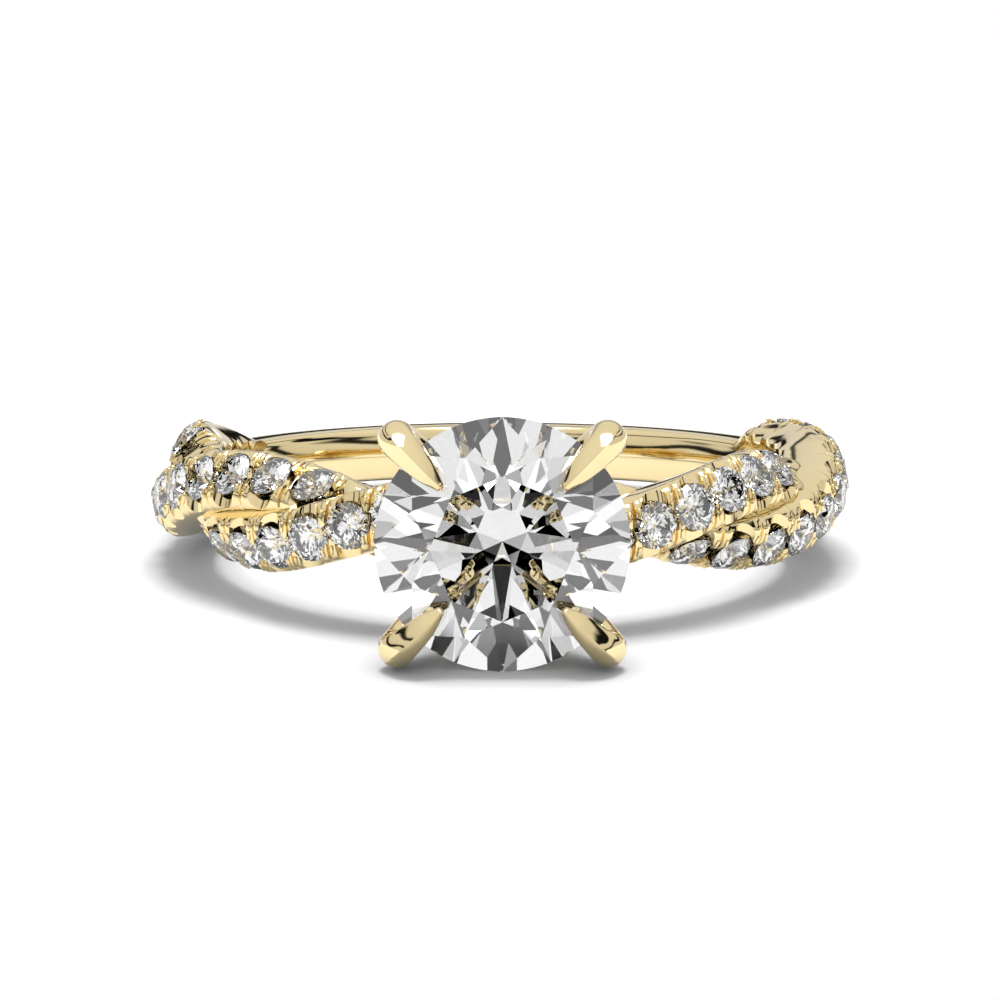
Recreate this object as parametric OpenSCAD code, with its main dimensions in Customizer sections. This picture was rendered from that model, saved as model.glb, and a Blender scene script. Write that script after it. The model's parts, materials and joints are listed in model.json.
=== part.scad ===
// A gold ring of two strands twisted round each other, with a row of small stones along each strand
// and a large round stone held by four claws.
// It lies on its side: Z is up, the large stone faces -Y, and the origin is on the floor under the
// middle of the ring.

/* [Finger hole] */
// Radius of the finger hole
finger_r = 8.35; // [7.6:0.05:10]

/* [Plain back] */
// Thickness of the band at the back
back_t = 1.65; // [1.4:0.05:1.9]
// Width of the band at the back, along the finger
back_w = 1.6; // [1.5:0.05:1.8]
// Radius of the soft outer edges of the back
back_round = 0.55; // [0.3:0.05:0.6]

/* [Twist] */
// Angle round the finger that one whole turn of the twist takes
twist_angle = 104; // [100:1:108]
// How far each strand's middle swings to either side
swing = 0.75; // [0.7:0.01:0.8]
// How far each strand's middle rises and dips where the strands cross
lift = 0.4; // [0.36:0.01:0.44]
// Distance from the finger hole's wall to the twist's middle line
twist_out = 0.85; // [0.8:0.01:0.9]
// How much a strand's stone row leans for each degree of the twist
lean_rate = 0.4; // [0.35:0.01:0.43]
// Angle from the large stone at which the twist starts to run into the plain back
merge_from = 116; // [115:0.5:118]
// Angle from the large stone at which the band is plain
merge_to = 131; // [129:0.5:133]

/* [Strands] */
// Width of a strand
strand_w = 1.96; // [1.9:0.01:2.05]
// Height of the small stones' girdles above a strand's middle
seat_h = 0.67; // [0.63:0.01:0.7]
// Depth of a strand below its middle
strand_deep = 1.5; // [1.4:0.02:1.6]
// How deep the strand's sides are cut in beside each small stone
scallop = 0.13; // [0.08:0.01:0.15]
// Height of the beads between small stones above their girdles
bead_h = 0.12; // [0.1:0.01:0.16]
// Space between the two beads on the joint of two small stones
bead_gap = 0.7; // [0.64:0.02:0.74]

/* [Small stones] */
// Diameter of a small stone
small_d = 1.39; // [1.35:0.01:1.4]
// Space between two small stones along the strand
small_gap = 0.08; // [0.07:0.01:0.1]

/* [Large stone] */
// Diameter of the large stone
stone_d = 7.4; // [7:0.1:7.8]
// Height of the large stone's point over the crease of the strands
point_gap = 0.1; // [0.05:0.01:0.4]

/* [Cut of the stones] */
// Width of the table as a share of the stone's diameter
table_share = 0.57; // [0.53:0.01:0.6]
// Angle of the crown's main facets
crown_angle = 34.5; // [33:0.5:36]
// Angle of the pavilion's main facets
pavilion_angle = 40.8; // [40:0.2:41.6]
// Thickness of the girdle as a share of the stone's diameter
girdle_share = 0.02; // [0.015:0.005:0.03]

/* [Claws] */
// Diameter of a claw's stem
claw_d = 1.1; // [1:0.02:1.2]
// Distance from the large stone's axis to a claw's tip
claw_tip = 2.6; // [2.5:0.05:2.8]
// Diameter of a claw at its tip
claw_tip_d = 0.3; // [0.26:0.02:0.36]
// Diameter of the wire of the rail that joins the claws
rail_d = 0.8; // [0.7:0.05:0.9]
// Distance from the large stone's girdle down to the rail
rail_drop = 2.15; // [2.05:0.05:2.25]

/* [Clearances] */
// Gap between the large stone and its claws
claw_gap = 0.06; // [0.05:0.01:0.08]
// Gap between a small stone and its seat
seat_gap = 0.07; // [0.06:0.01:0.08]

/* [Hidden] */
small_r = small_d / 2;
small_pitch = small_d + small_gap;
stone_r = stone_d / 2;
twist_r = finger_r + twist_out;
back_r = finger_r + back_t;

// The rows of small stones on one strand. Each row has a stone where the strand is on top, and the
// others follow it for as far as the strand shows, given as degrees that the strand has turned.
ROW_TURN = 0;
ROW_FROM = 1;
ROW_TO = 2;
ROWS = [
    // turn of the twist, from, to
    [-1, -116, 146],
    [0, -40, 116],
    [1, -116, -50],
];
most_stones = 12;

function ease(x) = let(t = min(1, max(0, x))) t * t * (3 - 2 * t);
function blend(a, b, t) = a + (b - a) * t;
function wrap(x) = x - 360 * round(x / 360);

// Strand 0 is on top at these angles round the finger, and strand 1 is it turned half round about
// the line from the finger to the large stone
function on_top(turn) = twist_angle * (turn + 1 / 4);
// How far a strand has turned about the twist's middle line, 0 where it is on top
function turned(s, a) = 360 * (a / twist_angle - 1 / 4) + 180 * s;
// 0 along the twist and 1 along the plain back, where the strands are narrower by a share
merge_hug = 0.28;
function plain(a) = ease((abs(a) - merge_from) / (merge_to - merge_from));
// Middle of the twist and of a strand, as distance from the finger's axis and height along it
function middle(a) = [blend(twist_r, finger_r + back_t / 2, plain(a)), 0];
function hug(a) = 1 - merge_hug * plain(a);
function strand_mid(s, a) =
    let(t = turned(s, a))
    middle(a) + (1 - plain(a)) * [lift * cos(t), swing * sin(t)];
// The lean of a strand's face grows with its turn and goes back where the strand is underneath
lean_hold = 138;
function lean(s, a) =
    let(t = wrap(turned(s, a)), back = ease((abs(t) - lean_hold) / (180 - lean_hold)))
    lean_rate * t * (1 - back) * (1 - plain(a));
// A point given across and up from a strand's middle
function on_strand(s, a, p) =
    let(l = lean(s, a))
    strand_mid(s, a) + [p.y * cos(l) - p.x * sin(l), p.y * sin(l) + p.x * cos(l)];
// A point round the finger
function at(a, q) = [q.x * sin(a), -q.x * cos(a), q.y];

// Girdle centre of a small stone, and how fast it moves along strand 0 with the angle
function seat(s, a) = on_strand(s, a, [0, seat_h]);
function speed(a) = norm(at(a + 0.5, seat(0, a + 0.5)) - at(a - 0.5, seat(0, a - 0.5)));
// Angle of the stone that is a number of pitches along the strand
function along(a, count) =
    count == 0 ? a
    : let(way = count > 0 ? 1 : -1, half = a + way * small_pitch / speed(a) / 2)
        along(a + way * small_pitch / speed(half), count - way);
STONE_ANGLES = [
    for (row = ROWS, k = [-most_stones:most_stones])
        let(top = on_top(row[ROW_TURN]), a = along(top, k), way = 360 * (a - top) / twist_angle)
        if (way >= row[ROW_FROM] && way <= row[ROW_TO]) a
];
function strand_stones(s) = [for (a = STONE_ANGLES) s == 0 ? a : -a];

// The seat of a stone is an eight-sided hollow, which narrows to the space between the beads
bead_in = bead_gap / 2;
seat_r = small_r + seat_gap;
seat_extra = 0.2;
corner = tan(22.5);
function seat_half(far) = far < seat_r ? min(seat_r, seat_r * (1 + corner) - far) : bead_in;
function seat_floor(from_axis) =
    seat_h - max(0, seat_r - max(from_axis, seat_extra)) * tan(pavilion_angle) - seat_extra;

// Points near the finger hole's wall go well inside it, so that its cut runs through the strands' sides
function outside(q) = [q.x < finger_r + cut_near ? finger_r - cut_in : q.x, q.y];
cut_near = 0.15;
cut_in = 0.3;

// Section of a strand, as points across and up from its middle: left side, seat, right side, foot.
// A seat reaches a little past the joint of two stones, the walls end in a small slope down from
// the top, and where there is no stone the top is flat.
SIDES = 16;
TOP = 7;
seat_run = 0.62 * small_pitch;
seat_end = 0.9 * small_r;
flat_up = 0.02;
brim_in = 0.05;
brim_down = 0.08;
wall_low = -0.1;
function strand_section(s, a) =
    let(
        stones = strand_stones(s),
        gaps = [for (b = stones) abs(a - b)],
        b = stones[search(min(gaps), gaps)[0]],
        far = abs(a - b) * PI / 180 * seat(s, b).x,
        l = lean(s, a),
        off = seat(s, b) - strand_mid(s, a),
        set = far < seat_run,
        past = (far - seat_end) / (small_pitch / 2 - seat_end),
        mid = set ? (off.y * cos(l) - off.x * sin(l)) * (1 - ease(past)) : 0,
        beside = set ? 1 - ease((far - seat_r * 0.5) / (seat_r * 0.5)) : 0,
        wide = strand_w / 2,
        rim = wide - scallop * beside,
        top = seat_h + (set ? blend(bead_h, flat_up, beside) : flat_up),
        inner = set ? seat_half(far) : bead_in,
        floor_side = set ? min(top, seat_floor(norm([inner / 2, far]))) : top,
        floor_mid = set ? min(top, seat_floor(far)) : top
    )
    [for (p = [
        [-wide * 0.55, -strand_deep],
        [-wide * 0.92, -strand_deep * 0.65],
        [-wide, wall_low],
        [-rim, seat_h * 0.55],
        [-rim + brim_in, top - brim_down],
        [mid - inner, top],
        [mid - inner / 2, floor_side],
        [mid, floor_mid],
        [mid + inner / 2, floor_side],
        [mid + inner, top],
        [rim - brim_in, top - brim_down],
        [rim, seat_h * 0.55],
        [wide, wall_low],
        [wide * 0.92, -strand_deep * 0.65],
        [wide * 0.55, -strand_deep],
        [0, -strand_deep],
    ]) outside(on_strand(s, a, hug(a) * p))];

// Direction from the twist's middle to a strand's middle
function toward(s, a) = let(t = turned(s, a)) atan2(swing * sin(t), lift * cos(t));
// How far a ray from the twist's middle runs inside a strand's plain outline
least_facing = 0.001;
function ray(s, a, dir) =
    let(
        l = lean(s, a),
        o = middle(a) - strand_mid(s, a),
        from = [o.y * cos(l) - o.x * sin(l), o.x * cos(l) + o.y * sin(l)],
        way = [sin(dir - l), cos(dir - l)],
        walls = [
            // across, up, distance
            [1, 0, strand_w / 2],
            [-1, 0, strand_w / 2],
            [0, 1, seat_h],
            [0, -1, strand_deep],
        ]
    )
    min([for (w = walls)
        let(facing = w.x * way.x + w.y * way.y)
        if (facing > least_facing) (w.z * hug(a) - w.x * from.x - w.y * from.y) / facing]);
// The crease where the strands meet, on one side of the twist
function crease(a, dir) =
    outside(middle(a) + max(ray(0, a, dir), ray(1, a, dir)) * [cos(dir), sin(dir)]);

// A ring of the twist has a record for each strand: the angle, the crease before and the crease
// after the points that show, the first and last of those, and all the strand's points
RING_ANGLE = 0;
RING_BEFORE = 1;
RING_AFTER = 2;
RING_RUN = 3;
RING_POINTS = 4;
crease_clear = 0.06;
function shown(s, a, loop) =
    let(
        way = toward(s, a),
        top = TOP + round(SIDES * (turned(s, a) - lean(s, a)) / 360),
        seen = [for (i = [top - SIDES / 2 + 1:top + SIDES / 2])
            let(q = loop[(i % SIDES + SIDES) % SIDES] - middle(a))
            if (q.x * cos(way) + q.y * sin(way) > crease_clear) i]
    )
    [min(seen), max(seen)];
function twist_ring(a) =
    let(
        way = toward(0, a),
        low = crease(a, way - 90),
        high = crease(a, way + 90),
        loops = [strand_section(0, a), strand_section(1, a)]
    )
    [for (s = [0, 1])
        let(run = shown(s, a, loops[s]))
        [a, s == 0 ? low : high, s == 0 ? high : low, run, loops[s]]];
function ring_point(r, i) =
    at(
        r[RING_ANGLE],
        i < r[RING_RUN][0] ? r[RING_BEFORE]
        : i > r[RING_RUN][1] ? r[RING_AFTER]
        : r[RING_POINTS][(i % SIDES + SIDES) % SIDES]
    );

// Triangles between two rings of one strand, and over the end of the twist
function strip(r, n) = [
    for (i = [min(r[RING_RUN][0], n[RING_RUN][0]) - 1:max(r[RING_RUN][1], n[RING_RUN][1])])
        let(a = ring_point(r, i), b = ring_point(r, i + 1), c = ring_point(n, i), d = ring_point(n, i + 1))
        each [[a, d, c], [a, b, d]]
];
function lid(r, way) = [
    for (i = [r[RING_RUN][0] - 1:r[RING_RUN][1]])
        let(a = ring_point(r, i), b = ring_point(r, i + 1), o = at(r[RING_ANGLE], middle(r[RING_ANGLE])))
        way > 0 ? [a, b, o] : [a, o, b]
];
twist_step = 2;
twist_end = merge_to - 3;
least_cross = 0.000001;
twist_count = ceil(2 * twist_end / twist_step);
twist_rings = [for (i = [0:twist_count]) twist_ring(blend(-twist_end, twist_end, i / twist_count))];
module twist() {
    triangles = [
        for (s = [0, 1])
            each [
                each lid(twist_rings[0][s], -1),
                for (k = [1:twist_count]) each strip(twist_rings[k - 1][s], twist_rings[k][s]),
                each lid(twist_rings[twist_count][s], 1),
            ],
    ];
    kept = [for (t = triangles) if (norm(cross(t[1] - t[0], t[2] - t[0])) > least_cross) t];
    polyhedron(
        points = [for (t = kept) each t],
        faces = [for (i = [0:len(kept) - 1]) [3 * i, 3 * i + 1, 3 * i + 2]]
    );
}

// Outline of the plain back, from the finger hole out, with round outer edges
edge_steps = 4;
back_outline = [
    [finger_r - cut_in, -back_w / 2],
    for (i = [0:edge_steps])
        let(t = 90 * i / edge_steps)
        [back_r - back_round + back_round * sin(t), -back_w / 2 + back_round - back_round * cos(t)],
    for (i = [0:edge_steps])
        let(t = 90 * i / edge_steps)
        [back_r - back_round + back_round * cos(t), back_w / 2 - back_round + back_round * sin(t)],
    [finger_r - cut_in, back_w / 2],
];
back_from = merge_to - 6;
module plain_back() {
    rotate([0, 0, -90 + back_from])
        rotate_extrude(angle = 360 - 2 * back_from, $fn = hole_steps)
            polygon(back_outline);
}

// The whole band, with the finger hole cut through it
hole_h = 4 * strand_w;
hole_steps = 180;
module band() {
    difference() {
        union() {
            twist();
            plain_back();
        }
        cylinder(h = hole_h, r = finger_r, center = true, $fn = hole_steps);
    }
}

// The large stone stands as low as the strands' inner corners at the head let its pavilion
girdle_t = girdle_share * stone_d;
head_corner = on_strand(0, 0, [strand_w / 2, seat_h]);
stone_reach = head_corner.x - abs(head_corner.y) * tan(pavilion_angle) + point_gap
    + stone_r * tan(pavilion_angle) + girdle_t / 2;

// Height of the large stone's crown over the finger hole's axis, at a distance from the stone's axis
function crown_at(from_axis) = stone_reach + girdle_t / 2 + (stone_r - from_axis) * tan(crown_angle);
// Middle of a claw where it lies on the crown, and where it runs along the pavilion, a run below the girdle
function on_crown(from_axis, d) = [from_axis, crown_at(from_axis) + (d / 2 + claw_gap) / cos(crown_angle), d];
function on_pavilion(run) =
    let(off = claw_d / 2 + claw_gap)
    [
        stone_r - run * cos(pavilion_angle) + off * sin(pavilion_angle),
        stone_reach - run * sin(pavilion_angle) - off * cos(pavilion_angle),
        claw_d,
    ];
rail_run = (rail_drop - (claw_d / 2 + claw_gap) * cos(pavilion_angle)) / sin(pavilion_angle);
rail_from = on_pavilion(rail_run)[0];
// The stems' feet stand closer together than at the rail, by a share
claw_foot = 0.6;
shoulder_d = 0.85 * claw_d;
brow_d = 0.65 * claw_d;
CLAW_FROM = 0;
CLAW_REACH = 1;
CLAW_WIDE = 2;
CLAW_LINE = [
    // from the stone's axis, from the finger's axis, width
    [claw_foot * rail_from, twist_r + strand_w / 8, claw_d],
    on_pavilion(rail_run),
    on_pavilion(0),
    [stone_r + claw_gap + claw_d / 2, stone_reach, claw_d],
    [stone_r + claw_gap + shoulder_d * 0.25, crown_at(stone_r) + shoulder_d * 0.58, shoulder_d],
    on_crown(blend(stone_r, claw_tip, 0.45), brow_d),
    on_crown(claw_tip, claw_tip_d),
];
// Section of a claw, in half widths: across, and away from the stone, where it has a ridge
CLAW_SECTION = [
    [0, 1],
    [-0.65, 0.55],
    [-1, -0.1],
    [-0.7, -0.75],
    [0, -1],
    [0.7, -0.75],
    [1, -0.1],
    [0.65, 0.55],
];
function claw_way(i) =
    let(
        before = CLAW_LINE[max(i - 1, 0)],
        after = CLAW_LINE[min(i + 1, len(CLAW_LINE) - 1)],
        step = [after[CLAW_FROM] - before[CLAW_FROM], after[CLAW_REACH] - before[CLAW_REACH]]
    )
    step / norm(step);
function claw_point(i, p) =
    let(station = CLAW_LINE[i], way = claw_way(i), half = station[CLAW_WIDE] / 2)
    [
        station[CLAW_FROM] + p.y * half * way.y,
        p.x * half,
        station[CLAW_REACH] - p.y * half * way.x,
    ];
module claw() {
    n = len(CLAW_SECTION);
    count = len(CLAW_LINE);
    polyhedron(
        points = [for (i = [0:count - 1], p = CLAW_SECTION) claw_point(i, p)],
        faces = [
            for (j = [1:n - 2]) [0, j + 1, j],
            for (j = [1:n - 2]) [for (k = [0, j, j + 1]) (count - 1) * n + k],
            for (i = [0:count - 2], j = [0:n - 1])
                let(a = i * n + j, b = i * n + (j + 1) % n)
                each [[a, b, a + n], [b, b + n, a + n]],
        ]
    );
}

// The head: claws at the quarters of the large stone, joined by a rail
module head() {
    rotate([90, 0, 0]) {
        for (turn = [45:90:315])
            rotate([0, 0, turn])
                claw();
        translate([0, 0, on_pavilion(rail_run)[1]])
            rotate_extrude($fn = 64)
                translate([rail_from, 0])
                    circle(d = rail_d, $fn = 8);
    }
}

// A brilliant cut: table, eight bezels with stars and upper girdle facets, girdle, and a pavilion of
// eight mains with lower girdle facets. Its girdle is round the origin and its table faces up.
FACETS = 8;
lower_share = 0.22;
function polar(r, turn, h) = [r * cos(turn), r * sin(turn), h];
module brilliant(r) {
    step = 360 / FACETS;
    half = girdle_share * r;
    table_r = table_share * r;
    mid_r = blend(table_r * cos(step / 2), r, 0.5);
    low_r = lower_share * r;
    rings = [
        [for (k = [0:FACETS - 1]) polar(table_r, k * step, half + (r - table_r) * tan(crown_angle))],
        [for (k = [0:FACETS - 1])
            polar(mid_r, (k + 0.5) * step, half + (r - mid_r * cos(step / 2)) * tan(crown_angle))],
        [for (k = [0:2 * FACETS - 1]) polar(r, k * step / 2, half)],
        [for (k = [0:2 * FACETS - 1]) polar(r, k * step / 2, -half)],
        [for (k = [0:FACETS - 1])
            polar(low_r, (k + 0.5) * step, -half - (r - low_r * cos(step / 2)) * tan(pavilion_angle))],
    ];
    points = [for (ring = rings) each ring, [0, 0, -half - r * tan(pavilion_angle)]];
    mid = FACETS;
    upper = 2 * FACETS;
    lower = 4 * FACETS;
    deep = 6 * FACETS;
    culet = 7 * FACETS;
    polyhedron(
        points = points,
        faces = [
            for (k = [1:FACETS - 2]) [0, k + 1, k],
            for (k = [0:FACETS - 1])
                let(
                    next = (k + 1) % FACETS,
                    here = 2 * k,
                    side = 2 * k + 1,
                    there = 2 * next
                )
                each [
                    [k, next, mid + k],
                    [k, mid + k, upper + here],
                    [next, upper + there, mid + k],
                    [mid + k, upper + side, upper + here],
                    [mid + k, upper + there, upper + side],
                    [upper + here, upper + side, lower + here],
                    [upper + side, lower + side, lower + here],
                    [upper + side, upper + there, lower + side],
                    [upper + there, lower + there, lower + side],
                    [deep + k, lower + here, lower + side],
                    [deep + k, lower + side, lower + there],
                    [deep + k, culet, lower + here],
                    [deep + k, lower + there, culet],
                ],
        ]
    );
}

// The ring lies on its back and on the low point of the large stone's girdle: its low points at the
// back give the slope of the line under it
reach_low = stone_reach - girdle_t / 2;
foot_slopes = [
    for (q = back_outline) (q.y + stone_r) / (q.x + reach_low),
    for (ring = twist_rings, r = ring, i = [r[RING_RUN][0]:r[RING_RUN][1]])
        let(p = ring_point(r, i))
        (p.z + stone_r) / (p.y + reach_low),
];
lie = atan(min(foot_slopes));
lie_up = stone_r * cos(lie) - reach_low * sin(lie);
claw_front = max([for (i = [0:len(CLAW_LINE) - 1], p = CLAW_SECTION)
    let(q = claw_point(i, p))
    q.z * cos(lie) + q.x * sin(45) * sin(lie)]);
back_behind = max([for (q = back_outline) q.x * cos(lie) + q.y * sin(lie)]);
module laid() {
    translate([0, (claw_front - back_behind) / 2, lie_up])
        rotate([-lie, 0, 0])
            children();
}

module ring_body() {
    color("gold")
        laid() union() {
            band();
            head();
        }
}

module centre_stone() {
    color("white")
        laid() translate([0, -stone_reach, 0])
            rotate([90, 0, 0])
                brilliant(stone_r);
}

module small_stone(i) {
    count = len(STONE_ANGLES);
    s = floor(i / count);
    a = strand_stones(s)[i % count];
    color("white")
        laid() translate(at(a, seat(s, a)))
            rotate([0, 90 - lean(s, a), a - 90])
                brilliant(small_r);
}

small_count = 2 * len(STONE_ANGLES);
function small_name(i) = str("small_stone_", i < 9 ? "0" : "", i + 1);

ring_body();
centre_stone();
for (i = [0:small_count - 1])
    small_stone(i);
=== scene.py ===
import json
import math

import bmesh
import bpy
from mathutils import Matrix, Vector
from mathutils.geometry import normal


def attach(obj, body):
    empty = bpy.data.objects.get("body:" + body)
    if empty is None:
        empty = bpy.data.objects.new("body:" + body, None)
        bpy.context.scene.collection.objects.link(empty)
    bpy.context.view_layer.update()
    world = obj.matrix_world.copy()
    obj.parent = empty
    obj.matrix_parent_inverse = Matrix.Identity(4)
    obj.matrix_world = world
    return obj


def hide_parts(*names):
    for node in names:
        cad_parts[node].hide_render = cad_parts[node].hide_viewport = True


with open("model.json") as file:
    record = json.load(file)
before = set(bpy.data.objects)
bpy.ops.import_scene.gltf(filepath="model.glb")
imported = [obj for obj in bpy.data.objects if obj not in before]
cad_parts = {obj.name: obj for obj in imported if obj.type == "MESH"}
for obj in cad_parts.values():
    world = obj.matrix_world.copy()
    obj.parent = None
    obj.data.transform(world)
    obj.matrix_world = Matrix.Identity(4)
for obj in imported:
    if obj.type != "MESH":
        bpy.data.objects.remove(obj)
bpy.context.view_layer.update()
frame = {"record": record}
MM = 0.001

# Sizes of the ring, in millimetres and degrees
FINGER_R = 8.35
BACK_T = 1.65
BACK_W = 1.6
BACK_ROUND = 0.55
TWIST_ANGLE = 104
SWING = 0.75
LIFT = 0.4
TWIST_OUT = 0.85
LEAN_RATE = 0.4
LEAN_HOLD = 138
MERGE_FROM = 116
MERGE_TO = 131
STRAND_W = 1.96
SEAT_H = 0.67
STRAND_DEEP = 1.5
SMALL_D = 1.39
SMALL_GAP = 0.08
STONE_D = 7.4
POINT_GAP = 0.1
TABLE_SHARE = 0.57
CROWN_ANGLE = 34.5
PAVILION_ANGLE = 40.8
CLAW_D = 1.1
CLAW_TIP = 2.6
CLAW_TIP_D = 0.3
CLAW_GAP = 0.06
RAIL_D = 0.8
RAIL_DROP = 2.15
# Stones on a strand: turn of the twist, first and last stone counted from where the strand is on top
ROWS = [(-1, -4, 5), (0, -1, 4), (1, -4, -2)]

TWIST_R = FINGER_R + TWIST_OUT
BACK_R = FINGER_R + BACK_T
GIRDLE_SHARE = 0.02
SMALL_R = SMALL_D / 2
PITCH = SMALL_D + SMALL_GAP
STONE_R = STONE_D / 2


def ease(x):
    t = min(1, max(0, x))
    return t * t * (3 - 2 * t)


def blend(a, b, t):
    return a + (b - a) * t


def rad(angle):
    return math.radians(angle)


# How the ring lies: the middle of its finger hole and the slope of its plane come from the frame
def ring_placement():
    """The CAD mount gives the finger hole's middle and axis."""
    mount = next(m for m in frame["record"]["mounts"] if m["name"] == "finger_bore")
    axis = Vector(mount["axis"])
    middle = Vector(mount["pos_m"])
    tilt = math.atan2(axis.y, axis.z)
    return Matrix.Translation(middle) @ Matrix.Rotation(-tilt, 4, "X"), tilt


LAID, LIE = ring_placement()


# The twist, as in the CAD model: angles run from the large stone, positive to the right
def on_top(turn):
    return TWIST_ANGLE * (turn + 1 / 4)


def turned(s, a):
    return 360 * (a / TWIST_ANGLE - 1 / 4) + 180 * s


def plain(a):
    return ease((abs(a) - MERGE_FROM) / (MERGE_TO - MERGE_FROM))


def strand_mid(s, a):
    t = rad(turned(s, a))
    keep = 1 - plain(a)
    r = blend(TWIST_R, FINGER_R + BACK_T / 2, plain(a))
    return r + keep * LIFT * math.cos(t), keep * SWING * math.sin(t)


def lean(s, a):
    t = turned(s, a)
    t -= 360 * round(t / 360)
    back = ease((abs(t) - LEAN_HOLD) / (180 - LEAN_HOLD))
    return LEAN_RATE * t * (1 - back) * (1 - plain(a))


def on_strand(s, a, across, up):
    """A point across and up from a strand's middle: distance from the finger's axis, and height along it."""
    r, z = strand_mid(s, a)
    t = rad(lean(s, a))
    return r + up * math.cos(t) - across * math.sin(t), z + up * math.sin(t) + across * math.cos(t)


def at(a, r, z):
    return Vector((r * math.sin(rad(a)), -r * math.cos(rad(a)), z))


def seat(s, a):
    return at(a, *on_strand(s, a, 0, SEAT_H))


def speed(s, a):
    """Millimetres along a row of seats for each degree."""
    return (seat(s, a + 0.5) - seat(s, a - 0.5)).length


def stone_angles():
    angles = []
    for turn, first, last in ROWS:
        for count in range(first, last + 1):
            a = on_top(turn)
            for _ in range(abs(count)):
                way = math.copysign(PITCH, count)
                a += way / speed(0, a + way / speed(0, a) / 2)
            angles.append(a)
    return angles


STONES = stone_angles()
# The large stone's girdle stands so far out that its point clears the strands that cross under it
HEAD_R, HEAD_Z = on_strand(0, 0, STRAND_W / 2, SEAT_H)
PAVILION_SLOPE = math.tan(rad(PAVILION_ANGLE))
STONE_REACH = HEAD_R + POINT_GAP + (STONE_R - abs(HEAD_Z)) * PAVILION_SLOPE + GIRDLE_SHARE * STONE_R


def strand_stones(s):
    return [a if s == 0 else -a for a in STONES]


# Meshes
WELD = 0.0005


def finish_piece(name, bm, material, smooth_under=180, outward=False):
    """Makes the mesh an object in metres, laid as the ring lies, smooth but for edges over an angle."""
    if not outward:
        bmesh.ops.recalc_face_normals(bm, faces=bm.faces)
    for face in bm.faces:
        face.smooth = smooth_under > 0
    for edge in bm.edges:
        if len(edge.link_faces) == 2 and edge.calc_face_angle(0) > rad(smooth_under):
            edge.smooth = False
    bm.transform(LAID @ Matrix.Scale(MM, 4))
    mesh = bpy.data.meshes.new(name)
    bm.to_mesh(mesh)
    bm.free()
    mesh.materials.append(material)
    piece = bpy.data.objects.new(name, mesh)
    bpy.context.collection.objects.link(piece)
    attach(piece, "root")
    return piece


def bent_grid(bm, along, around, point):
    """A grid of faces, bent so that a corner at shares u, v lies at point(u, v), with its seam welded."""
    made = bmesh.ops.create_grid(bm, x_segments=along, y_segments=around, size=0.5)["verts"]
    for vert in made:
        vert.co = point(vert.co.x + 0.5, vert.co.y + 0.5)
    bmesh.ops.remove_doubles(bm, verts=made, dist=WELD)


def spin(bm, geom, angle, steps):
    """Sweeps an outline round the upright axis."""
    bmesh.ops.spin(
        bm, geom=geom, cent=(0, 0, 0), axis=(0, 0, 1), dvec=(0, 0, 0), angle=rad(angle), steps=steps
    )


# The strands. Beside each stone a scoop is cut into the rounded wall, and a slit splits the wall
# that stays between two stones into a pair of prongs. WALL_POWER is how square the wall is, and
# WALL_SHARES says where its points lie from its side up to the scoop's edge.
WALL_POWER = 3.2
WALL_SHARES = (0, 0.14, 0.28, 0.42, 0.55, 0.67, 0.78, 0.87, 0.94, 1)
CREST_UP = 0.05
# The scoops: half their length, their depth, and the share of it that is left at the hole's edge
CUT_HALF = 0.45
CUT_DOWN = 0.33
CUT_INNER = 0.7
# A wall that leans over the finger hole has shallower scoops, so that it stays whole
SHALLOW_FROM = 16
SHALLOW_OVER = 16
# The slits, and the ribs on each side of them, which rise out of the wall from a height on
SLIT_HALF = 0.05
SLIT_DOWN = 0.13
RIB_UP = 0.03
RIB_FROM = 0.33
RIB_FADE = 0.2
# The lip between wall and hole, with its points as shares of the way across it
LIP = 0.04
LIP_SHARES = (0.1, 0.55, 1)
# The seat under a stone. Its points are shares of the hole's half width and of the way down.
SEAT_R = SMALL_R + 0.02
SEAT_SLOPE = 1.2
SEAT_POINT = 0.25
SEAT_STEPS = ((0.6, 0.4), (0.25, 0.8))
FLOOR_DOWN = 0.12
CHANNEL_HALF = 0.3
# The share of a stone's radius up to which the hole lies under the stone, even where the strand bends
HOLE_FOLLOWS = 0.8
BISECT_STEPS = 16
# Past a row's last stone the outline closes to a roof over this length, in so many steps
ROW_END = 0.4
ROW_END_STEPS = 8
ROOF_UP = 0.62
UNDERSIDE_POWER = 0.8
ROUND_ANGLES = (8, 22, 35, 47, 59, 70, 80)
# How the strands lie on the bore, and how they draw in and slim down to run into the back
BORE_LAP = 0.002
MERGE_IN = 0.2
MERGE_SLIM = 0.28
STRAND_END = MERGE_TO - 2
# The far lobes are slimmer
FAR_FROM = 88
FAR_OVER = 18
FAR_SLIM = 0.18
# Where outlines are taken: beside a stone in shares of the half pitch, elsewhere at even steps
STATIONS = (
    0, 0.09, 0.18, 0.26, 0.34, 0.41, 0.47, 0.52, 0.56, 0.585, 0.6, 0.61, 0.62, 0.65, 0.69, 0.74,
    0.79, 0.83, 0.87, 0.9, 0.925, 0.94, 0.955, 0.97, 0.985, 1,
)
PLAIN_STEP = 0.07
LEAST_STEP = 0.004
STRAND_SMOOTH = 32


def near_stone(s, a):
    """How far along the strand the nearest stone's middle is, and its angle."""
    b = min(strand_stones(s), key=lambda stone: abs(a - stone))
    return (a - b) * speed(s, b), b


def wall_height(x, wide, crest):
    return crest * max(0, 1 - (x / wide) ** WALL_POWER) ** (1 / WALL_POWER)


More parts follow.
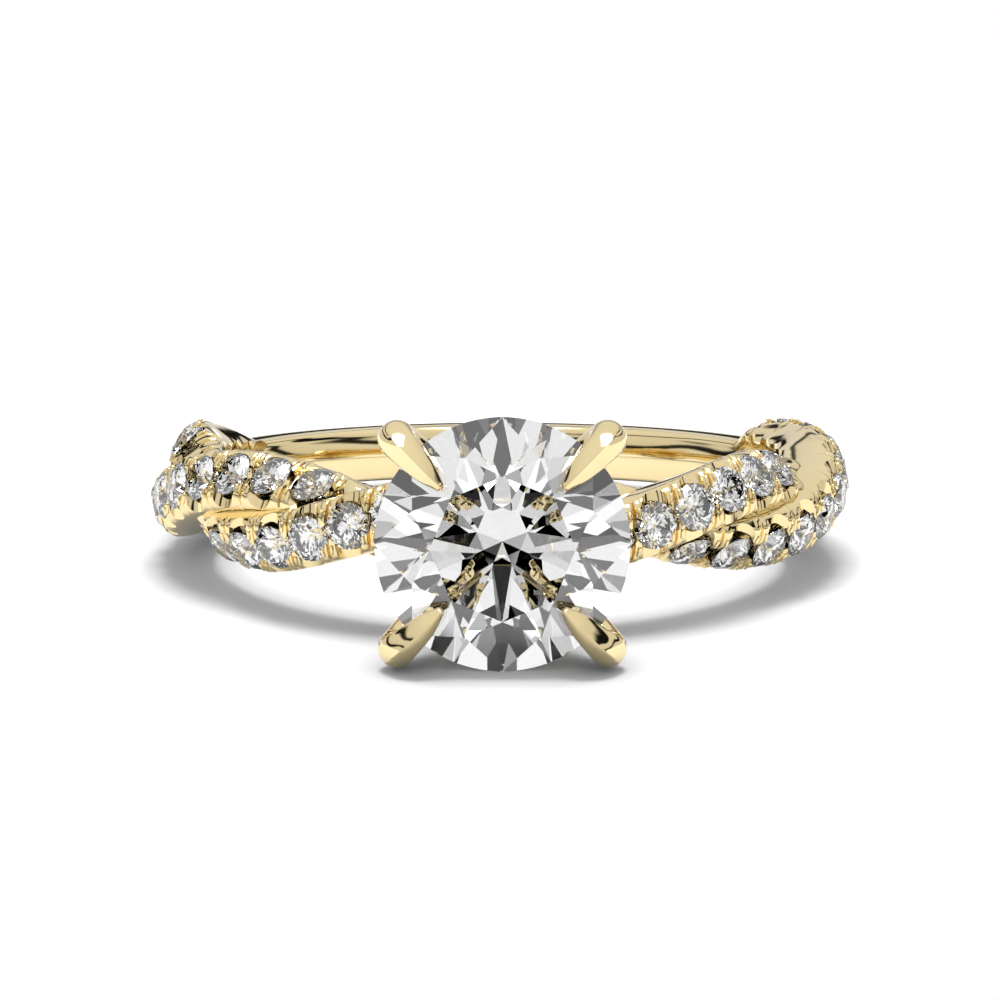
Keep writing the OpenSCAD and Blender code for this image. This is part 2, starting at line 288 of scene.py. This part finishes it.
def wall_point(wide, crest, t, push=0):
    """A point of the rounded upper half, t round from its side, pushed out by a rib or in by a slit."""
    x = wide * math.cos(t) ** (2 / WALL_POWER)
    y = crest * math.sin(t) ** (2 / WALL_POWER)
    out_x = (x / wide) ** (WALL_POWER - 1) / wide
    out_y = (y / crest) ** (WALL_POWER - 1) / crest
    size = math.hypot(out_x, out_y)
    push *= ease((y - RIB_FROM) / RIB_FADE)
    return x + push * out_x / size, y + push * out_y / size


def plain_side(wide, crest):
    """The upper outline from the side to near the middle, where no stone sits."""
    count = len(WALL_SHARES) + len(LIP_SHARES) + len(SEAT_STEPS) + 1
    return [wall_point(wide, crest, rad(90) * i / count) for i in range(count)]


def seat_side(far, wide, top, off, cut):
    """The same beside a stone: wall, scoop, lip and seat. The hole's edge is off from its place."""
    depth = cut * CUT_DOWN * math.sqrt(max(0, 1 - (far / CUT_HALF) ** 2))
    rib_share = (far - CUT_HALF) / (PITCH / 2 - SLIT_HALF - CUT_HALF)
    rib = math.sin(math.pi * min(1, max(0, rib_share)))
    slit = 1 - ease((PITCH / 2 - far) / SLIT_HALF)
    push = RIB_UP * rib - SLIT_DOWN * slit
    crest = top + CREST_UP
    hole = max(CHANNEL_HALF, math.sqrt(max(0, SEAT_R ** 2 - far ** 2)))
    hole = min(hole + off, wide - 2 * LIP)
    base = wall_height(hole, wide, crest)

    def scoop(x):
        return base - depth * blend(CUT_INNER, 1, (x - hole) / (wide - hole))

    low = hole + LIP
    high = wide
    for _ in range(BISECT_STEPS):
        edge = (low + high) / 2
        if wall_height(edge, wide, crest) > scoop(edge):
            low = edge
        else:
            high = edge
    t_edge = math.acos((low / wide) ** (WALL_POWER / 2))
    points = [wall_point(wide, crest, t_edge * share, push) for share in WALL_SHARES]
    for share in LIP_SHARES:
        x = blend(low, hole, share)
        points.append((x, min(scoop(x), wall_height(x, wide, crest)) + push))
    floor = top - FLOOR_DOWN
    deep = floor - max(0, SEAT_R - max(far, SEAT_POINT)) * SEAT_SLOPE
    points.append((hole - LIP / 2, min(floor, points[-1][1] - LIP)))
    for share, down in SEAT_STEPS:
        points.append((hole * share, blend(floor, deep, down)))
    return points


def seat_shift(s, a, b):
    """How far across the strand here the middle of the stone at angle b lies."""
    r_mid, z_mid = strand_mid(s, a)
    lie = rad(lean(s, a))
    middle = seat(s, b)
    off_r = middle.xy.length - r_mid
    off_z = middle.z - z_mid
    return off_z * math.cos(lie) - off_r * math.sin(lie)


def strand_outline(s, a):
    """The outline here as points across and up, from the middle of its underside all the way round."""
    far, b = near_stone(s, a)
    hug = 1 - MERGE_SLIM * plain(a)
    wide = STRAND_W / 2 * hug * (1 - FAR_SLIM * ease((abs(a) - FAR_FROM) / FAR_OVER))
    top = SEAT_H * hug
    flat = top - SEAT_H + ROOF_UP
    far = abs(far)
    held = 1 - ease((far - PITCH / 2) / ROW_END)
    sides = [plain_side(wide, flat), plain_side(wide, flat)]
    middle = flat
    if held > 0:
        follows = SMALL_R * HOLE_FOLLOWS
        shift = seat_shift(s, a, b) * (1 - ease((far - follows) / (PITCH / 2 - follows)))
        for i, way in enumerate((-1, 1)):
            cut = 1 - ease((way * lean(s, a) - SHALLOW_FROM) / SHALLOW_OVER)
            beside = seat_side(min(far, PITCH / 2), wide, top, way * shift, cut)
            pairs = zip(sides[i], beside)
            sides[i] = [(blend(p[0], q[0], held), blend(p[1], q[1], held)) for p, q in pairs]
        middle = (sides[0][-1][1] + sides[1][-1][1]) / 2
    under = []
    for t in ROUND_ANGLES:
        x = wide * math.sin(rad(t)) ** UNDERSIDE_POWER
        under.append((x, -STRAND_DEEP * math.cos(rad(t)) ** UNDERSIDE_POWER))
    left = under + sides[0]
    right = under + sides[1]
    return [(-x, y) for x, y in left] + [(0, middle)] + right[::-1]


def strand_point(s, a, across, up):
    r, z = on_strand(s, a, across, up)
    wall = FINGER_R + BORE_LAP * s + MERGE_IN * plain(a)
    return at(a, max(r, wall), z)


def strand_stations(s):
    """The angles of a strand's outlines: set ones beside each stone, even ones between the rows."""
    angles = {-STRAND_END, STRAND_END}
    for b in strand_stones(s):
        for share in STATIONS:
            for way in (-1, 1):
                angles.add(b + way * share * PITCH / 2 / speed(s, b))
        for way in (-1, 1):
            for step in range(1, ROW_END_STEPS + 1):
                a = b + way * (PITCH / 2 + ROW_END * step / ROW_END_STEPS) / speed(s, b)
                if near_stone(s, a)[1] == b and abs(a) < STRAND_END:
                    angles.add(a)
    angles = sorted(angles)
    kept = [angles[0]]
    for a in angles[1:]:
        gap = (a - kept[-1]) * speed(s, a)
        if gap < LEAST_STEP:
            continue
        steps = math.ceil(gap / PLAIN_STEP / 2)
        first = kept[-1]
        kept += [blend(first, a, i / steps) for i in range(1, steps + 1)]
    return kept


def make_strand(s, material):
    bm = bmesh.new()
    stations = strand_stations(s)
    outlines = [strand_outline(s, a) for a in stations]
    along = len(stations) - 1
    around = len(outlines[0])

    def point(u, v):
        i = round(u * along)
        k = round(v * around) % around
        return strand_point(s, stations[i], *outlines[i][k])

    bent_grid(bm, along, around, point)
    return finish_piece(f"strand_{s + 1}", bm, material, STRAND_SMOOTH)


# Prong tips: small beads on the ribs at each joint of two stones, which lean over the stones' edges
PRONG_R = 0.065
PRONG_SIDES = 12
PRONG_RINGS = 8
PRONG_ALONG = 0.155
PRONG_LEAN = 1.15
# A prong's foot and tip, across and up from the strand's middle
PRONG_FOOT = (0.66, 0.68)
PRONG_TIP = (0.47, 0.73)


def joints(s):
    """The places between stones and at the ends of their rows, with the ways to the stones beside them."""
    half = PITCH / 2
    places = []
    for b in strand_stones(s):
        for way in (-1, 1):
            a = b + way * half / speed(s, b)
            met = any(abs(a - joint) * speed(s, a) < half / 2 for joint, _ in places)
            if met:
                places = [(j, (-1, 1)) if abs(a - j) * speed(s, a) < half / 2 else (j, w) for j, w in places]
            else:
                places.append((a, (-way,)))
    return places


def add_prong(bm, s, joint, way, side):
    foot_a = joint + way * PRONG_ALONG / speed(s, joint)
    tip_a = joint + way * PRONG_ALONG * PRONG_LEAN / speed(s, joint)
    foot = strand_point(s, foot_a, side * PRONG_FOOT[0], PRONG_FOOT[1])
    tip = strand_point(s, tip_a, side * PRONG_TIP[0], PRONG_TIP[1])
    turn = (tip - foot).normalized().to_track_quat("Z", "Y").to_matrix().to_4x4()
    made = bmesh.ops.create_uvsphere(
        bm, u_segments=PRONG_SIDES, v_segments=PRONG_RINGS, radius=PRONG_R
    )["verts"]
    for vert in made:
        vert.co.z += math.copysign((tip - foot).length / 2, vert.co.z)
    bmesh.ops.transform(bm, matrix=Matrix.Translation((foot + tip) / 2) @ turn, verts=made)


def make_prongs(s, material):
    bm = bmesh.new()
    for joint, ways in joints(s):
        for way in ways:
            for side in (-1, 1):
                add_prong(bm, s, joint, way, side)
    return finish_piece(f"prongs_{s + 1}", bm, material)


# The plain back. It starts inside the strands' ends.
BACK_FROM = MERGE_FROM - 1
BACK_STEPS = 160
BACK_SMOOTH = 60
ROUND_STEPS = 8
INNER_ROUND = 0.2
INNER_ANGLES = (80, 60, 40, 20)
CROWN_IN = 0.08


def back_section():
    """The outline by distance from the finger's axis and height, rounded outside and crowned inside."""
    half = BACK_W / 2
    outer = []
    for i in range(ROUND_STEPS + 1):
        t = rad(90 * i / ROUND_STEPS)
        across = half - BACK_ROUND * (1 - math.sin(t))
        out = BACK_R - BACK_ROUND * (1 - math.cos(t))
        outer += [(out, -across), (out, across)]
    outer.sort(key=lambda p: p[1])
    inner_half = half - INNER_ROUND
    lead = []
    for t in INNER_ANGLES:
        out = FINGER_R + CROWN_IN + INNER_ROUND * (1 - math.cos(rad(t)))
        lead.append((out, inner_half + INNER_ROUND * math.sin(rad(t))))
    inner = []
    for i in range(2 * ROUND_STEPS + 1):
        across = inner_half * (1 - i / ROUND_STEPS)
        inner.append((FINGER_R + CROWN_IN * (across / inner_half) ** 2, across))
    tail = [(r, -across) for r, across in reversed(lead)]
    return outer + lead + inner + tail


def make_back(material):
    bm = bmesh.new()
    section = back_section()
    verts = [bm.verts.new(at(BACK_FROM, r, z)) for r, z in section]
    edges = [bm.edges.new(pair) for pair in zip(verts, verts[1:] + verts[:1])]
    spin(bm, verts + edges, 360 - 2 * BACK_FROM, BACK_STEPS)
    return finish_piece("plain_back", bm, material, BACK_SMOOTH)


# The head: four claws with a ridge on their brows, and the rail that joins their stems
CLAW_ALONG = 84
CLAW_AROUND = 32
CLAW_SMOOTH = 40
# The share of a claw's run from which its end is rounded off, and the step that finds its direction
CLAW_END = 0.965
CLAW_STEP = 0.004
# The ridge: its height and shape, and how much of the round half it takes the place of
RIDGE_HIGH = 1.12
RIDGE_POWER = 1.15
RIDGE_SHARE = 0.85
RAIL_SIDES = 20
RAIL_STEPS = 72
# Just under 1, so that the last station of a curve belongs to its last stretch
LAST_SHARE = 0.999999


def crown_at(from_axis):
    return STONE_REACH + GIRDLE_SHARE * STONE_R + (STONE_R - from_axis) * math.tan(rad(CROWN_ANGLE))


def on_crown(from_axis, width):
    """The claw's middle over the crown."""
    return from_axis, crown_at(from_axis) + (width / 2 + CLAW_GAP) / math.cos(rad(CROWN_ANGLE)), width


def on_pavilion(run):
    """The claw's middle beside the pavilion, run down it from the girdle."""
    off = CLAW_D / 2 + CLAW_GAP
    t = rad(PAVILION_ANGLE)
    return (
        STONE_R - run * math.cos(t) + off * math.sin(t),
        STONE_REACH - run * math.sin(t) - off * math.cos(t),
        CLAW_D,
    )


RAIL_DOWN = RAIL_DROP - (CLAW_D / 2 + CLAW_GAP) * math.cos(rad(PAVILION_ANGLE))
RAIL_RUN = RAIL_DOWN / math.sin(rad(PAVILION_ANGLE))
RAIL_FROM, RAIL_REACH, _ = on_pavilion(RAIL_RUN)
SHOULDER_D = 0.85 * CLAW_D
BROW_D = 0.65 * CLAW_D
# The claw's middle line from its foot to its tip: distance from the stone's axis and from the finger's axis,
# width, and how sharp its ridge is
CLAW_LINE = [
    (0.6 * RAIL_FROM, TWIST_R + STRAND_W / 8, 0.9 * CLAW_D, 0),
    (*on_pavilion(RAIL_RUN), 0),
    (*on_pavilion(RAIL_RUN / 2), 0),
    (*on_pavilion(0), 0),
    (STONE_R + CLAW_GAP + CLAW_D / 2, STONE_REACH, CLAW_D, 0),
    (STONE_R + CLAW_GAP + SHOULDER_D * 0.25, crown_at(STONE_R) + SHOULDER_D * 0.58, SHOULDER_D, 0.7),
    (*on_crown(blend(STONE_R, CLAW_TIP, 0.45), BROW_D), 1),
    (*on_crown(CLAW_TIP, CLAW_TIP_D), 1),
]


def curve_through(stations, u):
    """A point on a smooth curve through the stations, at a share u of them."""
    last = len(stations) - 1
    place = min(u, LAST_SHARE) * last
    i = int(place)
    t = place - i
    p = [stations[min(max(i + k, 0), last)] for k in (-1, 0, 1, 2)]
    result = []
    for c in zip(*p):
        slope_a = (c[2] - c[0]) / 2
        slope_b = (c[3] - c[1]) / 2
        h = 2 * c[1] - 2 * c[2] + slope_a + slope_b
        k = 3 * (c[2] - c[1]) - 2 * slope_a - slope_b
        result.append(h * t ** 3 + k * t ** 2 + slope_a * t + c[1])
    return result


def make_claw(k, material):
    bm = bmesh.new()
    turn = Matrix.Rotation(rad(45 + 90 * k), 4, "Z")
    stand = Matrix.Rotation(rad(90), 4, "X")

    def point(u, v):
        run = min(u / CLAW_END, 1)
        from_axis, reach, width, ridge = curve_through(CLAW_LINE, run)
        ahead = curve_through(CLAW_LINE, min(run + CLAW_STEP, 1))
        behind = curve_through(CLAW_LINE, max(run - CLAW_STEP, 0))
        way = Vector((ahead[0] - behind[0], ahead[1] - behind[1])).normalized()
        half = width / 2
        if u > CLAW_END:
            over = (u - CLAW_END) / (1 - CLAW_END)
            half *= math.sqrt(max(0, 1 - over * over))
            from_axis += way.x * width / 2 * over
            reach += way.y * width / 2 * over
        phi = 2 * math.pi * v
        across = math.sin(phi)
        up = math.cos(phi)
        if up > 0:
            roof = RIDGE_HIGH - RIDGE_HIGH * abs(across) ** RIDGE_POWER
            up = blend(up, roof, ridge * RIDGE_SHARE)
        out_across = across * half
        out_from = from_axis + up * half * way.y
        out_reach = reach - up * half * way.x
        return Vector((out_from, out_across, out_reach))

    bent_grid(bm, CLAW_ALONG, CLAW_AROUND, point)
    bm.transform(stand @ turn)
    return finish_piece(f"claw_{k + 1}", bm, material, CLAW_SMOOTH)


def make_rail(material):
    bm = bmesh.new()
    ring = bmesh.ops.create_circle(bm, segments=RAIL_SIDES, radius=RAIL_D / 2)["verts"]
    for vert in ring:
        vert.co = Vector((RAIL_FROM + vert.co.x, 0, RAIL_REACH + vert.co.y))
    edges = list({edge for vert in ring for edge in vert.link_edges})
    spin(bm, ring + edges, 360, RAIL_STEPS)
    bmesh.ops.remove_doubles(bm, verts=bm.verts, dist=WELD)
    bm.transform(Matrix.Rotation(rad(90), 4, "X"))
    return finish_piece("gallery_rail", bm, material)


# Brilliants: a disc whose facets are cut one plane at a time. Each small one is spun on from the last.
FACETS = 8
LOWER_SHARE = 0.22
STONE_SIDES = 128
SMALL_SIDES = 48
SMALL_SPIN = 17
# In shares of the stone's radius: the height of the disc, and how near two points are the same
DISC_HIGH = 3
SAME_POINT = 1e-5


def polar(r, angle, h):
    return Vector((r * math.cos(rad(angle)), r * math.sin(rad(angle)), h))


def facet_planes(r):
    """Three points of each facet's plane."""
    half = GIRDLE_SHARE * r
    step = 360 / FACETS
    table_r = TABLE_SHARE * r
    mid_r = blend(table_r * math.cos(rad(step / 2)), r, 0.5)
    low_r = LOWER_SHARE * r
    up = math.tan(rad(CROWN_ANGLE))
    down = math.tan(rad(PAVILION_ANGLE))
    table_h = half + (r - table_r) * up
    mid_h = half + (r - mid_r * math.cos(rad(step / 2))) * up
    low_h = -half - (r - low_r * math.cos(rad(step / 2))) * down
    planes = [(polar(1, 0, table_h), polar(1, 120, table_h), polar(1, 240, table_h))]
    for k in range(FACETS):
        a = k * step
        girdle = polar(r, a, half)
        girdle_mid = polar(r, a + step / 2, half)
        table = polar(table_r, a, table_h)
        mid = polar(mid_r, a + step / 2, mid_h)
        planes.append((girdle, mid, polar(mid_r, a - step / 2, mid_h)))
        planes.append((table, mid, polar(table_r, a + step, table_h)))
        planes.append((mid, girdle, girdle_mid))
        planes.append((mid, girdle_mid, polar(r, a + step, half)))
        edge = polar(r, a, -half)
        edge_mid = polar(r, a + step / 2, -half)
        low = polar(low_r, a + step / 2, low_h)
        planes.append((edge, low, polar(low_r, a - step / 2, low_h)))
        planes.append((low, edge, edge_mid))
        planes.append((low, edge_mid, polar(r, a + step, -half)))
    return planes


def brilliant(r, sides):
    bm = bmesh.new()
    bmesh.ops.create_cone(
        bm, cap_ends=True, cap_tris=False, segments=sides, radius1=r, radius2=r, depth=DISC_HIGH * r
    )
    for a, b, c in facet_planes(r):
        away = normal(a, b, c)
        if away.dot(a) < 0:
            away.negate()
        cut = bmesh.ops.bisect_plane(
            bm,
            geom=bm.verts[:] + bm.edges[:] + bm.faces[:],
            dist=r * SAME_POINT,
            plane_co=a,
            plane_no=away,
            clear_outer=True,
        )
        edges = [e for e in cut["geom_cut"] if isinstance(e, bmesh.types.BMEdge)]
        bmesh.ops.edgeloop_fill(bm, edges=edges)
    for face in bm.faces:
        face.normal_update()
        if face.normal.dot(face.calc_center_median()) < 0:
            face.normal_flip()
    return bm


def make_centre_stone(material):
    bm = brilliant(STONE_R, STONE_SIDES)
    bm.transform(Matrix.Translation((0, -STONE_REACH, 0)) @ Matrix.Rotation(rad(90), 4, "X"))
    stone = finish_piece("large_brilliant", bm, material, 0, outward=True)
    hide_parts("centre_stone")


def make_small_stones(material):
    cut = brilliant(SMALL_R, SMALL_SIDES)
    number = 0
    for s in (0, 1):
        for a in strand_stones(s):
            number += 1
            bm = cut.copy()
            spun = Matrix.Rotation(rad(SMALL_SPIN * number), 4, "Z")
            turn = Matrix.Rotation(rad(a - 90), 4, "Z") @ Matrix.Rotation(rad(90 - lean(s, a)), 4, "Y")
            bm.transform(Matrix.Translation(seat(s, a)) @ turn @ spun)
            name = f"small_brilliant_{number:02d}"
            stone = finish_piece(name, bm, material, 0, outward=True)
            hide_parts(f"small_stone_{number:02d}")
    cut.free()


# Materials: the gold's tones and roughness vary in clouds, and its grain is a faint bump
GOLD_DEEP = (0.84, 0.68, 0.37, 1)
GOLD_PALE = (0.89, 0.74, 0.43, 1)
GOLD_BETWEEN = (0.3, 0.7)
GOLD_HAZE = (0.05, 0.09)
CLOUD_SCALE = 420
CLOUD_DETAIL = 3
GRAIN_SCALE = 1600
GRAIN_DETAIL = 2
GRAIN_STRENGTH = 0.05
GRAIN_DEEP = 0.00003
DIAMOND_INDEX = 2.417
FLOOR_WHITE = (0.95, 0.95, 0.95, 1)
FLOOR_ROUGH = 0.9
FLOOR_SHINE = 0.1


def add_noise(tree, coords, scale, detail):
    """The grey of a noise texture."""
    noise = tree.nodes.new("ShaderNodeTexNoise")
    noise.inputs["Scale"].default_value = scale
    noise.inputs["Detail"].default_value = detail
    tree.links.new(coords, noise.inputs["Vector"])
    return noise.outputs["Fac"]


def add_range(tree, value, start=(0, 1), end=(0, 1)):
    """A value moved from one range into another."""
    moved = tree.nodes.new("ShaderNodeMapRange")
    moved.inputs["From Min"].default_value = start[0]
    moved.inputs["From Max"].default_value = start[1]
    moved.inputs["To Min"].default_value = end[0]
    moved.inputs["To Max"].default_value = end[1]
    tree.links.new(value, moved.inputs["Value"])
    return moved.outputs["Result"]


def gold_material():
    mat = bpy.data.materials.new("polished_gold")
    mat.use_nodes = True
    tree = mat.node_tree
    shader = tree.nodes["Principled BSDF"]
    shader.inputs["Metallic"].default_value = 1
    coords = tree.nodes.new("ShaderNodeTexCoord").outputs["Object"]
    cloud = add_noise(tree, coords, CLOUD_SCALE, CLOUD_DETAIL)
    tone = tree.nodes.new("ShaderNodeValToRGB")
    for element, position, colour in zip(tone.color_ramp.elements, GOLD_BETWEEN, (GOLD_DEEP, GOLD_PALE)):
        element.position = position
        element.color = colour
    tree.links.new(cloud, tone.inputs["Fac"])
    tree.links.new(tone.outputs["Color"], shader.inputs["Base Color"])
    tree.links.new(add_range(tree, cloud, end=GOLD_HAZE), shader.inputs["Roughness"])
    bump = tree.nodes.new("ShaderNodeBump")
    bump.inputs["Strength"].default_value = GRAIN_STRENGTH
    bump.inputs["Distance"].default_value = GRAIN_DEEP
    tree.links.new(add_noise(tree, coords, GRAIN_SCALE, GRAIN_DETAIL), bump.inputs["Height"])
    tree.links.new(bump.outputs["Normal"], shader.inputs["Normal"])
    return mat


def diamond_material():
    mat = bpy.data.materials.new("diamond")
    mat.use_nodes = True
    shader = mat.node_tree.nodes["Principled BSDF"]
    shader.inputs["Base Color"].default_value = (1, 1, 1, 1)
    shader.inputs["Roughness"].default_value = 0
    shader.inputs["Transmission Weight"].default_value = 1
    shader.inputs["IOR"].default_value = DIAMOND_INDEX
    return mat


def floor_material():
    mat = bpy.data.materials.new("white_floor")
    mat.use_nodes = True
    shader = mat.node_tree.nodes["Principled BSDF"]
    shader.inputs["Base Color"].default_value = FLOOR_WHITE
    shader.inputs["Roughness"].default_value = FLOOR_ROUGH
    shader.inputs["Specular IOR Level"].default_value = FLOOR_SHINE
    return mat


# Stage
FLOOR_HALF = 0.045
KEY_AT = (0.0, 0.05, 0.45)
KEY_SIDE = 0.22
KEY_POWER = 1.5
# The cards that the stones show: their size, and the dark gaps between them
CARD_SCALE = 3.0
GAP_HALF = 0.018
GAP_FADE = 1.4
# Share of the cards from which a grey holds, and the grey
CARD_GREYS = [
    (0, 0.003),
    (0.05, 0.03),
    (0.1, 0.1),
    (0.17, 0.25),
    (0.25, 0.44),
    (0.41, 0.64),
    (0.59, 0.8),
    (0.78, 0.97),
]
# Height in the room from the floor's level up, and the grey that the metal mirrors there
ROOM_GREYS = [
    (0, 0.78),
    (0.04, 0.82),
    (0.065, 0.006),
    (0.135, 0.006),
    (0.165, 0.75),
    (0.36, 0.84),
    (0.39, 0.008),
    (0.445, 0.008),
    (0.475, 0.78),
    (0.7, 0.9),
    (1, 0.95),
]
# How these bands wave up and down
ROOM_WAVE_SCALE = 1.7
ROOM_WAVE_HIGH = 0.5
# The grey that lights the floor
AMBIENT = 0.72
# The dark in front of the ring, which keeps the white off the large stone's table
FRONT = (0, -1, 0)
DARK_COS = (0.985, 0.975)


def make_floor():
    bm = bmesh.new()
    bmesh.ops.create_grid(bm, x_segments=1, y_segments=1, size=FLOOR_HALF)
    mesh = bpy.data.meshes.new("floor")
    bm.to_mesh(mesh)
    bm.free()
    mesh.materials.append(floor_material())
    floor = bpy.data.objects.new("floor", mesh)
    bpy.context.collection.objects.link(floor)


def make_key_light():
    """A square lamp overhead, turned to the ring."""
    data = bpy.data.lights.new("key", "AREA")
    data.shape = "SQUARE"
    data.size = KEY_SIDE
    data.energy = KEY_POWER
    light = bpy.data.objects.new("key", data)
    light.location = KEY_AT
    light.rotation_euler = (-Vector(KEY_AT)).to_track_quat("-Z", "Y").to_euler()
    bpy.context.collection.objects.link(light)


def add_greys(tree, value, stops, flat=False):
    """A colour ramp of greys, in steps where it is flat."""
    greys = tree.nodes.new("ShaderNodeValToRGB")
    ramp = greys.color_ramp
    if flat:
        ramp.interpolation = "CONSTANT"
    ramp.elements[0].position = stops[0][0]
    ramp.elements[1].position = stops[-1][0]
    for position, _ in stops[1:-1]:
        ramp.elements.new(position)
    for element, (_, grey) in zip(ramp.elements, stops):
        element.color = (grey, grey, grey, 1)
    tree.links.new(value, greys.inputs["Fac"])
    return greys.outputs["Color"]


def add_mix(tree, share, first, second):
    """The first colour, or as much of the second as the share says. The second may be a plain colour."""
    mix = tree.nodes.new("ShaderNodeMix")
    mix.data_type = "RGBA"
    tree.links.new(share, mix.inputs["Factor"])
    tree.links.new(first, mix.inputs["A"])
    if isinstance(second, tuple):
        mix.inputs["B"].default_value = second
    else:
        tree.links.new(second, mix.inputs["B"])
    return mix.outputs["Result"]


def add_math(tree, operation, a, b):
    node = tree.nodes.new("ShaderNodeMath")
    node.operation = operation
    tree.links.new(a, node.inputs[0])
    tree.links.new(b, node.inputs[1])
    return node.outputs["Value"]


def card_colours(tree, way):
    """What rays through the stones see: flat cards of many greys, with dark gaps between them."""
    cards = tree.nodes.new("ShaderNodeTexVoronoi")
    seams = tree.nodes.new("ShaderNodeTexVoronoi")
    seams.feature = "DISTANCE_TO_EDGE"
    for texture in (cards, seams):
        texture.inputs["Scale"].default_value = CARD_SCALE
        texture.inputs["Randomness"].default_value = 1
        tree.links.new(way, texture.inputs["Vector"])
    shade = tree.nodes.new("ShaderNodeSeparateColor")
    tree.links.new(cards.outputs["Color"], shade.inputs["Color"])
    greys = add_greys(tree, shade.outputs["Red"], CARD_GREYS, flat=True)
    carded = tree.nodes.new("ShaderNodeVectorMath")
    carded.operation = "SCALE"
    tree.links.new(greys, carded.inputs["Vector"])
    gap = add_range(tree, seams.outputs["Distance"], start=(GAP_HALF, GAP_HALF * GAP_FADE))
    tree.links.new(gap, carded.inputs["Scale"])
    return carded.outputs["Vector"]


def room_colours(tree, way):
    """What the metal mirrors: bands of grey by height, which wave up and down."""
    parts = tree.nodes.new("ShaderNodeSeparateXYZ")
    tree.links.new(way, parts.inputs["Vector"])
    noise = add_noise(tree, way, ROOM_WAVE_SCALE, 0)
    wave = add_range(tree, noise, end=(-ROOM_WAVE_HIGH / 2, ROOM_WAVE_HIGH / 2))
    return add_greys(tree, add_math(tree, "ADD", parts.outputs["Z"], wave), ROOM_GREYS)


def make_world():
    """The studio shows each kind of ray something else, and the camera itself sees plain white."""
    world = bpy.data.worlds.new("studio")
    bpy.context.scene.world = world
    world.use_nodes = True
    tree = world.node_tree
    way = tree.nodes.new("ShaderNodeTexCoord").outputs["Generated"]
    ray = tree.nodes.new("ShaderNodeLightPath").outputs
    colour = add_mix(tree, ray["Is Transmission Ray"], room_colours(tree, way), card_colours(tree, way))
    colour = add_mix(tree, ray["Is Diffuse Ray"], colour, (AMBIENT, AMBIENT, AMBIENT, 1))
    colour = add_mix(tree, ray["Is Camera Ray"], colour, (1, 1, 1, 1))
    forward = tree.nodes.new("ShaderNodeVectorMath")
    forward.operation = "DOT_PRODUCT"
    forward.inputs[1].default_value = FRONT
    tree.links.new(way, forward.inputs[0])
    clear = add_range(tree, forward.outputs["Value"], start=DARK_COS)
    background = tree.nodes["Background"]
    tree.links.new(colour, background.inputs["Color"])
    tree.links.new(add_math(tree, "MAXIMUM", clear, ray["Is Camera Ray"]), background.inputs["Strength"])


# Camera, at the photograph's angle: how far off in millimetres, how many degrees over the ring's plane
# and to the side, the picture's scale, and where the middle of the finger hole lies in it
EYE_AWAY = 350
EYE_OVER_RING = 7.2
EYE_TURN = -0.3
PX_PER_MM = 33.3
RING_AT = (500.0, 486.3)
FRAME_PX = 1000
SENSOR_MM = 36
CLIP_FROM = 0.01
CLIP_TO = 20


def make_camera():
    middle = LAID.translation / MM
    rise = rad(EYE_OVER_RING) + LIE
    turn = rad(EYE_TURN)
    away = Vector((math.sin(turn) * math.cos(rise), -math.cos(turn) * math.cos(rise), math.sin(rise)))
    data = bpy.data.cameras.new("camera")
    data.sensor_width = SENSOR_MM
    data.lens = PX_PER_MM * EYE_AWAY * data.sensor_width / FRAME_PX
    data.shift_x = (FRAME_PX / 2 - RING_AT[0]) / FRAME_PX
    data.shift_y = (RING_AT[1] - FRAME_PX / 2) / FRAME_PX
    data.clip_start = CLIP_FROM
    data.clip_end = CLIP_TO
    camera = bpy.data.objects.new("camera", data)
    camera.location = (middle + away * EYE_AWAY) * MM
    camera.rotation_euler = away.to_track_quat("Z", "Y").to_euler()
    bpy.context.collection.objects.link(camera)
    bpy.context.scene.camera = camera


make_camera()
gold = gold_material()
diamond = diamond_material()
metal = [make_strand(s, gold) for s in (0, 1)]
metal += [make_prongs(s, gold) for s in (0, 1)]
metal.append(make_back(gold))
metal += [make_claw(k, gold) for k in range(4)]
metal.append(make_rail(gold))
for piece in metal:
    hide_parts("ring_body")
make_centre_stone(diamond)
make_small_stones(diamond)
make_floor()
make_world()
make_key_light()
bpy.context.scene.view_settings.view_transform = "Standard"
bpy.context.scene.cycles.caustics_reflective = False
